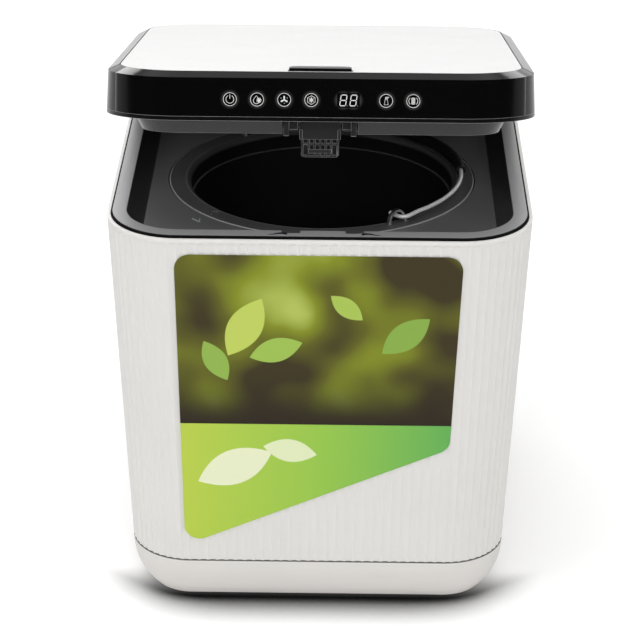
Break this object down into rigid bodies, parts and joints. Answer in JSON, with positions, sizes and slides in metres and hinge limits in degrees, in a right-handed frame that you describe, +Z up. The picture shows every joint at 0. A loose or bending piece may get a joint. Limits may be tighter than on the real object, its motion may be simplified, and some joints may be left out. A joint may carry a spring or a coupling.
{
  "type": "electric food waste composter",
  "caption": "Worktop electric food waste composter: fluted tapering casing, rear-hinged lid standing ajar, lift-out bucket with stirrer and bail, geared motor, heater and filter drawer.",
  "frame": {"origin": "centre of the footprint on the surface it stands on", "axes": "+Z up, -Y the front with the controls, +X to the right seen from the front"},
  "size_m": [0.3034, 0.3727, 0.4172],
  "materials": {
    "black_gloss": "gloss black",
    "black_plastic": "matt black",
    "board_green": "green circuit board",
    "board_part": "black and blue electronic parts",
    "brass": "turned",
    "bright_wire": "bright wire",
    "bucket_coating": "black non-stick coating",
    "carbon": "black carbon granules",
    "casing_white": "satin off-white, vertically fluted",
    "deck_grey": "satin charcoal",
    "duct_plastic": "matt dark grey",
    "felt": "needled felt",
    "grey_satin": "satin dark grey",
    "label_film": "printed film, green",
    "lamp": "clear lamp",
    "lens_lit": "lit white marks on black",
    "panel_white": "gloss white",
    "pot_aluminium": "drawn",
    "rubber_black": "matt black",
    "silicone_grey": "matt dark grey silicone",
    "steel": "zinc plated",
    "stirrer_coating": "black coated",
    "tray_white": "satin off-white",
    "white_plastic": "natural white acetal"
  },
  "bodies": {
    "machine_body": {"outer_casing": "casing_white", "base_tray": "tray_white", "rubber_feet": "rubber_black", "case_screws": "steel", "top_deck": "deck_grey", "latch_striker": "steel", "interlock_switches": "black_plastic", "rim_gasket": "rubber_black", "front_label": "label_film", "heating_pot": "pot_aluminium", "shaft_seal": "rubber_black", "heater_ring": "pot_aluminium", "insulation_sleeve": "felt", "thermostat": "black_plastic", "idler_shaft": "steel", "motor_can": "steel", "gearbox_housing": "duct_plastic", "gearbox_cover": "duct_plastic", "output_bearings": "brass", "filter_bay": "duct_plastic", "intake_duct": "duct_plastic", "exhaust_duct": "duct_plastic", "fan_frame": "black_plastic", "rear_grille": "tray_white", "power_inlet": "black_plastic", "board_bracket": "steel", "power_board": "board_green", "board_parts": "board_part", "hinge_brackets": "grey_satin"},
    "lid": {"lid_shell": "black_gloss", "control_fascia": "black_gloss", "lid_top_panel": "panel_white", "inner_lid": "grey_satin", "lid_gasket": "silicone_grey", "display_board": "board_green", "indicator_lamps": "lamp", "display_lenses": "lens_lit", "latch_housing": "grey_satin", "latch_pin": "steel", "hinge_leaves": "grey_satin", "hinge_pins": "steel", "lid_screws": "steel", "button_springs": "steel"},
    "button": {"release_button": "black_gloss"},
    "latch": {"latch_tongue": "black_plastic"},
    "bucket_body": {"bucket": "bucket_coating", "bucket_bush": "brass", "breaker_bars": "stirrer_coating"},
    "bail": {"bail_wire": "bright_wire", "bail_grip": "black_plastic"},
    "stirrer": {"stirrer_blade": "stirrer_coating", "stirrer_shaft": "steel"},
    "drive": {"drive_shaft": "steel", "output_gear": "white_plastic"},
    "idler": {"idler_gear": "white_plastic"},
    "motor_rotor": {"motor_pinion": "brass", "motor_shaft": "steel"},
    "fan": {"fan_impeller": "black_plastic"},
    "filter": {"filter_drawer": "tray_white", "carbon_block": "carbon"}
  },
  "joints": [
    {"name": "lid_hinge", "type": "hinge", "parent": "machine_body", "child": "lid", "pos_m": [0, 0.1765, 0.3102], "axis": [-1, 0, 0], "range_deg": [-13.24, 71.76]},
    {"name": "button_press", "type": "slide", "parent": "lid", "child": "button", "axis": [0, -0.229, -0.9734], "range_m": [0, 0.0016], "stiffness_N_per_m": 900, "springref_m": -0.001, "deforming": ["button_springs"]},
    {"name": "latch_swing", "type": "hinge", "parent": "lid", "child": "latch", "pos_m": [0, -0.14469, 0.3868], "axis": [1, 0, 0], "range_deg": [-0.2, 7.19]},
    {"name": "bucket_lift", "type": "slide", "parent": "machine_body", "child": "bucket_body", "axis": [0, 0, 1], "range_m": [0, 0.018]},
    {"name": "bail_swing", "type": "hinge", "parent": "bucket_body", "child": "bail", "pos_m": [0, -0.022, 0.2884], "axis": [0.5299, -0.848, 0], "range_deg": [0, 21]},
    {"name": "stirrer_spin", "type": "hinge", "parent": "bucket_body", "child": "stirrer", "pos_m": [0, -0.022, 0.1358], "axis": [0, 0, 1], "continuous": true},
    {"name": "drive_spin", "type": "hinge", "parent": "machine_body", "child": "drive", "pos_m": [0, -0.022, 0.09], "axis": [0, 0, 1], "continuous": true},
    {"name": "idler_spin", "type": "hinge", "parent": "machine_body", "child": "idler", "pos_m": [-0.04125, -0.022, 0.09], "axis": [0, 0, 1], "continuous": true},
    {"name": "motor_spin", "type": "hinge", "parent": "machine_body", "child": "motor_rotor", "pos_m": [-0.07725, -0.022, 0.09], "axis": [0, 0, 1], "continuous": true},
    {"name": "fan_spin", "type": "hinge", "parent": "machine_body", "child": "fan", "pos_m": [0, 0.167, 0.158], "axis": [0, 1, 0], "continuous": true},
    {"name": "filter_slide", "type": "slide", "parent": "machine_body", "child": "filter", "axis": [0, 1, 0], "range_m": [0, 0.062]}
  ],
  "couplings": [
    {"joint": "latch_swing", "follows": "button_press", "rad_per_m": 75.188},
    {"joint": "idler_spin", "follows": "drive_spin", "ratio": -2.6667},
    {"joint": "motor_spin", "follows": "drive_spin", "ratio": 8},
    {"joint": "stirrer_spin", "follows": "drive_spin", "ratio": 1}
  ]
}
